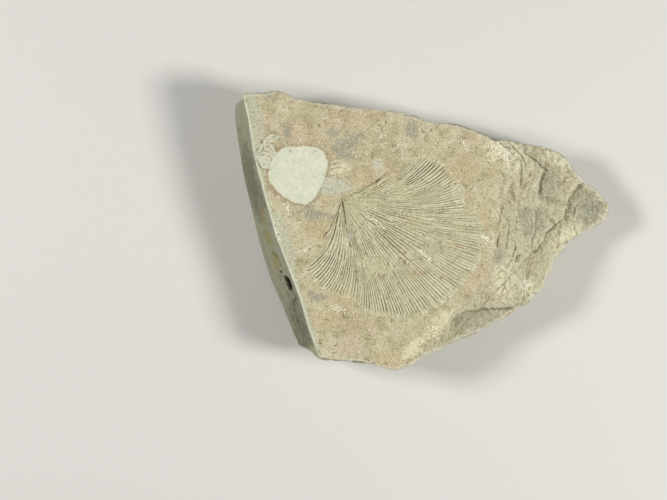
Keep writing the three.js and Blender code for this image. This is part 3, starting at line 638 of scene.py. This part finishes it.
saw_line = [(x, y) for x, y, run, _ in OUTLINE if run > LEAST_SAWN_RUN]
from_saw, _, _, _ = nearest(saw_line[1:] + saw_line[:1], top_x, top_y)
along_saw = (top_x - SAWN_LOW[0]) * saw_x + (top_y - SAWN_LOW[1]) * saw_y
strip = np.interp(along_saw, *np.array(FRESH_STRIP).T)
fan_only = np.concatenate([on_fan, flat])
edge_highlight_top = (1 - smooth(inset / EDGE_HIGHLIGHT_TOP)) * (1 - sawn)
edge_highlight_side = (1 - smooth(side_share / EDGE_HIGHLIGHT_SIDE)) * (1 - sawn)
stretched_z = side_z * SIDE_STAIN_STRETCH
side_stain = smooth(relief(way_round, stretched_z, SIDE_STAIN_WIDTH, SIDE_STAIN_SEED)) * (1 - sawn)
rough_top = mix(ROUGH_BEDDING, 1 - SMOOTH_FACET * on_facet, fractured)
rough_top = rough_top * (1 - SMOOTH_MOULD * fan_only) * (1 - SMOOTH_SCAR * pale)
shares = {
    "mould": over_all(np.concatenate([on_fan * (1 - worn_margin), flat]), 0, 0),
    "groove": over_all(np.concatenate([groove, flat]), 0, 0),
    "crest_highlight": over_all(np.concatenate([crest_highlight, flat]), 0, 0),
    "fracture": over_all(fractured, 1 - sawn, 1),
    "painted_light": blots(PAINTED_LIGHT),
    "facet_shade": blots(SHADED_FACETS),
    "smudge": blots(SMUDGES),
    "ochre": blots(OCHRE) + over_all(0, SIDE_STAIN * side_stain, UNDER_STAIN),
    "rust": blots(RUST),
    "rosy": blots(ROSY),
    "pale_grey": blots(PALE_GREY),
    "glint": blots(GLINTS),
    "fresh": over_all(np.clip(0.5 + (strip - from_saw) / STRIP_FADE, 0, 1), 0, 0),
    "stained_rim": over_all(stained_rim, 0, 0),
    "pale_patch": over_all(pale, 0, 0),
    "crust": over_all(crusted, 0, 0),
    "edge_highlight": over_all(edge_highlight_top, edge_highlight_side, 0),
    "sawn": over_all(0, sawn, 0),
    "dark_face": over_all(0, spots(along_face, down_face, DARK_FACE) * sawn, 0),
    "ochre_face": over_all(0, spots(along_face, down_face, OCHRE_FACE) * sawn, 0),
    "sawn_edge_highlight": over_all(1 - smooth(from_saw / SAWN_EDGE_HIGHLIGHT_WIDTH), 0, 0),
    "hole_shade": over_all(np.maximum(cleft, crusted * pits * PIT_DEPTH), hole_shade * sawn, 0),
    "rough": over_all(rough_top, 1 - SMOOTH_SAW * sawn, smooth(rise * UNDER_ROUGH_START)),
}
for name, values in shares.items():
    kept = skin.attributes.new(name, "FLOAT", "POINT")
    kept.data.foreach_set("value", values.astype(np.float32))

# Where each point lies across the ribs and along them, so that the material can draw light and
# dark streaks that follow the ribs: the light ones are painted highlights, the dark ones darker
# tone. The way along is shortened, which makes them long.
STREAK_LENGTH = 14.0  # in their own widths
across_ribs = over_all(phase * ribbed * around, 0, 0)
from_beak = over_all(np.concatenate([np.broadcast_to(fan_share, fan_x.shape), flat + 1]), 0, 0)
on_ribs = np.column_stack([across_ribs, from_beak * FAN_REACH / STREAK_LENGTH, 0 * from_beak])
kept = skin.attributes.new("on_ribs", "FLOAT_VECTOR", "POINT")
kept.data.foreach_set("vector", (on_ribs * MM).astype(np.float32).ravel())


def linear(code):
    """An sRGB hex colour as linear red, green, blue and alpha."""
    parts = [int(code[i:i + 2], 16) / 255 for i in (1, 3, 5)]
    return (*(p / 12.92 if p <= 0.04045 else ((p + 0.055) / 1.055)**2.4 for p in parts), 1.0)


def add(tree, kind, inputs=(), **settings):
    """Adds a node with its settings, and links or sets its inputs."""
    made = tree.nodes.new(kind)
    for name, value in settings.items():
        setattr(made, name, value)
    for key, value in dict(inputs).items():
        if isinstance(value, bpy.types.NodeSocket):
            tree.links.new(value, made.inputs[key])
        else:
            made.inputs[key].default_value = value
    return made


# Buff sandstone: quartz grains in clay and iron oxide, weathered matt. The eye sees fine grain,
# soft mottling, ochre and grey stains, and darker dirt with painted shade in the grooves; painted
# highlights and shade lie on crests, edges and hollows. The grain is drawn at 0.5 mm, coarser than
# the real 0.1 mm, because finer grain doesn't show in the render.
PATTERNS = {  # width in millimetres, detail, roughness
    "grain": (0.5, 3.0, 0.6), "fleck": (1.1, 2.0, 0.5), "mottle": (3.2, 5.0, 0.65),
    "stain": (11.0, 4.0, 0.6), "tint": (15.0, 3.0, 0.6), "saw_marks": (0.9, 3.0, 0.6),
    "rib_streaks": (0.6, 2.0, 0.6),
}
SAW_MARK_LENGTH = 9.0  # in widths
STONE = "#b3a985"
COATS = [  # where it lies, what frays its edge and by how much, from, to, most, colour
    ("stain", "fleck", 0.0, -0.15, 0.15, 1.00, "#c6bd9b"),
    ("mottle", "fleck", 0.0, -0.02, 0.16, 0.80, "#d6ceb0"),
    ("mottle", "fleck", 0.0, 0.00, -0.15, 0.72, "#9c906d"),
    ("tint", "fleck", 0.2, 0.02, 0.16, 0.45, "#c4ab8d"),
    ("mould", "ragged", 1.6, 0.30, 0.95, 0.75, "#bfbc97"),
    # painted highlights in streaks along the ribs
    ("mould", "rib_streaks", 5.0, 1.10, 1.60, 0.70, "#e4e1c2"),
    ("mould", "rib_streaks", -5.0, 1.10, 1.60, 0.58, "#948e68"),
    ("fracture", "ragged", 0.9, 0.25, 0.65, 0.60, "#bab697"),
    ("fracture", "mottle", 3.2, 1.05, 1.50, 0.65, "#958d69"),
    ("fracture", "mottle", -3.2, 1.05, 1.50, 0.60, "#dad5b6"),
    # painted shade on the smooth facets that face away from the lamps
    ("facet_shade", "ragged", 0.9, 0.25, 0.65, 0.80, "#9b997e"),
    # painted light, mostly where the broken slopes face the lamps
    ("painted_light", "ragged", 2.0, 0.25, 0.85, 0.92, "#ddd7b4"),
    ("ochre", "ragged", 1.6, 0.25, 0.75, 0.50, "#c1ad80"),
    ("rust", "ragged", 1.6, 0.25, 0.65, 0.55, "#b08a5c"),
    ("rosy", "ragged", 1.6, 0.25, 0.75, 0.40, "#cab79f"),
    ("smudge", "ragged", 2.0, 0.25, 0.85, 0.75, "#979684"),
    ("fresh", "ragged", 0.8, 0.25, 0.65, 0.75, "#bdbea3"),
    ("stained_rim", "ragged", 2.4, 0.30, 0.90, 0.68, "#9c8568"),
    ("pale_grey", "ragged", 1.2, 0.25, 0.65, 0.70, "#c6c8b3"),
    ("crust", "ragged", 0.8, 0.25, 0.65, 0.85, "#d0cfb8"),
    # painted highlight along the upper edges
    ("edge_highlight", "ragged", 1.2, 0.25, 0.65, 0.60, "#ded8bd"),
    # painted highlight on the rib crests
    ("crest_highlight", "ragged", 0.6, 0.50, 1.10, 0.45, "#dcd8ba"),
    ("grain", "fleck", 0.0, 0.00, 0.16, 0.50, "#e3ddc6"),
    ("grain", "fleck", 0.0, -0.02, -0.16, 0.45, "#857b5d"),
    ("fleck", "grain", 0.0, -0.12, -0.22, 0.60, "#6f664d"),
    ("crust", "fleck", -4.0, 1.45, 1.80, 0.75, "#5d5237"),
    ("pale_patch", "ragged", 0.3, 0.40, 0.60, 0.86, "#d7dac2"),
    ("pale_patch", "mottle", 2.0, 0.95, 1.35, 0.40, "#c4cab4"),
    ("pale_patch", "ragged", -2.0, 0.95, 1.50, 0.50, "#e9e9d3"),
    # painted shade in the hollows of the relief
    ("cavity_shade", "ragged", 0.6, 0.20, 1.10, 0.60, "#746b4b"),
    # painted highlight on the high points of the relief
    ("ridge_highlight", "ragged", 0.3, 0.15, 1.00, 0.35, "#e0dac0"),
    ("sawn", "fleck", 0.0, 0.25, 0.65, 0.96, "#9b9c84"),
    ("sawn", "saw_marks", 3.0, 1.05, 1.50, 0.40, "#b3b39b"),
    ("sawn", "saw_marks", -3.0, 1.05, 1.50, 0.35, "#848470"),
    ("dark_face", "ragged", 1.6, 0.20, 1.00, 0.85, "#6c6c59"),
    ("ochre_face", "ragged", 2.2, 0.30, 1.00, 0.65, "#9c8950"),
    # painted highlight along the sawn upper edge
    ("sawn_edge_highlight", "ragged", 0.6, 0.25, 0.65, 0.65, "#e0e0ca"),
    # dirt and painted shade in the rib grooves
    ("groove", "ragged", 1.2, 0.30, 1.40, 0.62, "#7b7250"),
    ("glint", "grain", 5.0, 0.95, 1.35, 0.90, "#f6f1e0"),
    # painted shade in clefts, pits, the sawn face's hollows and its crack
    ("hole_shade", "fleck", 0.0, 0.15, 0.90, 0.92, "#37301e"),
    ("hole_shade", "fleck", 0.0, 1.00, 1.40, 0.95, "#0e0c08"),
]
BUMP_MM = 0.3
FLECK_LUMPS = 1.5  # height of the flecks against that of the grain
MORE_BUMP, LEAST_BUMP = 0.7, 0.55  # on rough stone, over the least everywhere
stone = bpy.data.materials.new("weathered_buff_sandstone")
stone.use_nodes = True
tree = stone.node_tree
tree.nodes.clear()
at = add(tree, "ShaderNodeTexCoord").outputs["Object"]
along_saw_cut = add(tree, "ShaderNodeMapping", {
    "Vector": at, "Rotation": (0.0, 0.0, math.atan2(saw_y, saw_x)),
    "Scale": (SAW_MARK_LENGTH, 1.0, 1.0)}, vector_type="TEXTURE").outputs["Vector"]
on_the_ribs = add(tree, "ShaderNodeAttribute", attribute_name="on_ribs").outputs["Vector"]
follows = {"saw_marks": along_saw_cut, "rib_streaks": on_the_ribs}
noise = {}
for seed, (name, (width, detail, uneven)) in enumerate(PATTERNS.items()):
    drawn = add(tree, "ShaderNodeTexNoise", {
        "Vector": follows.get(name, at), "W": float(seed),
        "Scale": 1 / (width * MM), "Detail": detail, "Roughness": uneven}, noise_dimensions="4D")
    centred = add(tree, "ShaderNodeMath", {0: drawn.outputs[0], 1: 0.5}, operation="SUBTRACT")
    noise[name] = centred.outputs[0]
noise["ragged"] = add(tree, "ShaderNodeMath", {0: noise["mottle"], 1: noise["fleck"]}).outputs[0]
colour = linear(STONE)
for where, frayed_by, fray, low, high, most, code in COATS:
    lies = noise.get(where) or add(tree, "ShaderNodeAttribute", attribute_name=where).outputs["Fac"]
    frayed = add(tree, "ShaderNodeMath", {
        0: noise[frayed_by], 1: fray, 2: lies}, operation="MULTIPLY_ADD")
    cover = add(tree, "ShaderNodeMapRange", {
        "Value": frayed.outputs[0], "From Min": low, "From Max": high, "To Min": 0.0,
        "To Max": most}, interpolation_type="SMOOTHSTEP")
    laid = add(tree, "ShaderNodeMix", {
        0: cover.outputs["Result"], 6: colour, 7: linear(code)}, data_type="RGBA")
    colour = laid.outputs[2]
lumpy = add(tree, "ShaderNodeMath", {
    0: noise["fleck"], 1: FLECK_LUMPS, 2: noise["grain"]}, operation="MULTIPLY_ADD")
rough_share = add(tree, "ShaderNodeAttribute", attribute_name="rough")
strength = add(tree, "ShaderNodeMath", {
    0: rough_share.outputs["Fac"], 1: MORE_BUMP, 2: LEAST_BUMP}, operation="MULTIPLY_ADD")
lumps = add(tree, "ShaderNodeMath", {
    0: lumpy.outputs[0], 1: strength.outputs[0]}, operation="MULTIPLY")
bump = add(tree, "ShaderNodeBump", {
    "Strength": 1.0, "Distance": BUMP_MM * MM, "Height": lumps.outputs[0]})
surface = add(tree, "ShaderNodeBsdfPrincipled", {
    "Base Color": colour, "Normal": bump.outputs["Normal"], "Roughness": 0.92, "Metallic": 0.0,
    "IOR": 1.5, "Specular IOR Level": 0.3})
add(tree, "ShaderNodeOutputMaterial", {"Surface": surface.outputs["BSDF"]})

# Weathering and breaking roughen the skin, most on the fracture and least on the saw cut.
GRIT = [("Chip width", 2.4, "Chip height", 1.1, 5.0), ("Grit width", 1.1, "Grit height", 0.55, 9.0)]
weather = bpy.data.node_groups.new("weathering", "GeometryNodeTree")
weather.interface.new_socket("Geometry", in_out="INPUT", socket_type="NodeSocketGeometry")
weather.interface.new_socket("Geometry", in_out="OUTPUT", socket_type="NodeSocketGeometry")
enter = add(weather, "NodeGroupInput")
rough = add(weather, "GeometryNodeInputNamedAttribute", {"Name": "rough"}, data_type="FLOAT")
normal = add(weather, "GeometryNodeInputNormal")
weathered = enter.outputs["Geometry"]
sizes = {}
for width_name, width, height_name, tall, seed in GRIT:
    for name, size in ((width_name, width), (height_name, tall)):
        socket = weather.interface.new_socket(name, in_out="INPUT", socket_type="NodeSocketFloat")
        sizes[socket.identifier] = size * MM
    per_metre = add(weather, "ShaderNodeMath", {
        0: 1.0, 1: enter.outputs[width_name]}, operation="DIVIDE")
    drawn = add(weather, "ShaderNodeTexNoise", {
        "W": seed, "Scale": per_metre.outputs[0], "Detail": 1.0}, noise_dimensions="4D")
    centred = add(weather, "ShaderNodeMath", {0: drawn.outputs[0], 1: 0.5}, operation="SUBTRACT")
    scaled = add(weather, "ShaderNodeMath", {
        0: centred.outputs[0], 1: enter.outputs[height_name]}, operation="MULTIPLY")
    masked = add(weather, "ShaderNodeMath", {
        0: scaled.outputs[0], 1: rough.outputs["Attribute"]}, operation="MULTIPLY")
    push = add(weather, "ShaderNodeVectorMath", {
        0: normal.outputs[0], "Scale": masked.outputs[0]}, operation="SCALE")
    moved = add(weather, "GeometryNodeSetPosition", {"Geometry": weathered, "Offset": push.outputs[0]})
    weathered = moved.outputs["Geometry"]
whole = add(weather, "GeometryNodeRealizeInstances", {"Geometry": weathered})
finished = add(weather, "GeometryNodeSetMaterial", {"Geometry": whole.outputs[0], "Material": stone})
add(weather, "NodeGroupOutput", {0: finished.outputs[0]})

modifier = slab.modifiers.new("weathering", "NODES")
modifier.node_group = weather
for identifier, size in sizes.items():
    modifier[identifier] = size
graph = bpy.context.evaluated_depsgraph_get()
slab_mesh = bpy.data.meshes.new_from_object(
    slab.evaluated_get(graph), preserve_all_data_layers=True, depsgraph=graph)
slab.modifiers.remove(modifier)
slab.data = slab_mesh

# Painted shade lies in what is sunk and painted highlights on the high points: how far each
# point of the skin lies under or over its neighbours on the grid, along its normal. The sides'
# grid is coarse, and single dark points would show there, so each is averaged with those beside it.
FULLY_SUNK = 0.075 * MM
points = np.empty(3 * len(slab_mesh.vertices))
slab_mesh.vertices.foreach_get("co", points)
normals = np.array([v.vector[:] for v in slab_mesh.vertex_normals])
on_grid = points.reshape(-1, 3)[:rings * columns].reshape(rings, columns, 3)
padded = np.concatenate([on_grid[:1], on_grid, on_grid[-1:]])
neighbours = padded[:-2] + padded[2:] + np.roll(on_grid, 1, 1) + np.roll(on_grid, -1, 1)
over = normals[:rings * columns].reshape(rings, columns, 3)
cavity_shade = ((neighbours / 4 - on_grid) * over).sum(2) / FULLY_SUNK
softer = (np.roll(cavity_shade, 1, 1) + 2 * cavity_shade + np.roll(cavity_shade, -1, 1)) / 4
softer[1:-1] = (softer[:-2] + 2 * softer[1:-1] + softer[2:]) / 4
cavity_shade[len(top_x):] = softer[len(top_x):]
cavity_shade = np.concatenate([cavity_shade.ravel(), [0.0, 0.0]])
for name, values in (("cavity_shade", cavity_shade), ("ridge_highlight", -cavity_shade)):
    kept = slab_mesh.attributes.new(name, "FLOAT", "POINT")
    kept.data.foreach_set("value", np.clip(values, 0, 1).astype(np.float32))
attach(slab, "root")
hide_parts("slab")

# The floor is a wide sheet of pale matt paper, as on a studio table.
FLOOR_MM = 1200
half = FLOOR_MM * MM / 2
corners = [(-half, -half, 0), (half, -half, 0), (half, half, 0), (-half, half, 0)]
floor_mesh = bpy.data.meshes.new("floor")
floor_mesh.from_pydata(corners, [], [(0, 1, 2, 3)])
floor = bpy.data.objects.new("floor", floor_mesh)
bpy.context.scene.collection.objects.link(floor)
paper = bpy.data.materials.new("matt_white_paper")
paper.use_nodes = True
paper_surface = paper.node_tree.nodes["Principled BSDF"]
paper_surface.inputs["Base Color"].default_value = linear("#d9d7d1")
paper_surface.inputs["Roughness"].default_value = 0.95
floor_mesh.materials.append(paper)

# Two soft lamps, one on the right and one on the left, and light from all round the room.
LAMPS = [  # name, place in metres, power in watts, width in metres
    ("right_lamp", (0.50, -0.11, 0.50), 3.9, 0.16), ("left_lamp", (-0.46, 0.08, 0.50), 2.5, 0.16)]
ROOM_LIGHT = 0.17
for name, place, power, width in LAMPS:
    light = bpy.data.lights.new(name, "AREA")
    light.energy = power
    light.size = width
    lamp = bpy.data.objects.new(name, light)
    lamp.location = place
    lamp.rotation_mode = "QUATERNION"
    lamp.rotation_quaternion = lamp.location.to_track_quat("Z", "Y")
    bpy.context.scene.collection.objects.link(lamp)
room = bpy.data.worlds.new("room")
room.use_nodes = True
room.node_tree.nodes["Background"].inputs["Color"].default_value = linear("#f2f1ee")
room.node_tree.nodes["Background"].inputs["Strength"].default_value = ROOM_LIGHT
bpy.context.scene.world = room
bpy.context.scene.view_settings.view_transform = "Standard"  # shows the hex colours as they are

# The camera looks straight down, as a copy stand holds it.
CAMERA_HEIGHT_MM = 600
VIEW_WIDTH_MM = 186.76  # of the table, across the picture
VIEW_MIDDLE_MM = (-23.8, -5.07)  # in the drawing
SENSOR_MM = 36
lens = bpy.data.cameras.new("camera")
lens.sensor_width = SENSOR_MM
lens.lens = SENSOR_MM * CAMERA_HEIGHT_MM / VIEW_WIDTH_MM
camera = bpy.data.objects.new("camera", lens)
camera.location = (
    (VIEW_MIDDLE_MM[0] + PLACE[0]) * MM, (VIEW_MIDDLE_MM[1] + PLACE[1]) * MM, CAMERA_HEIGHT_MM * MM)
bpy.context.scene.collection.objects.link(camera)
bpy.context.scene.camera = camera
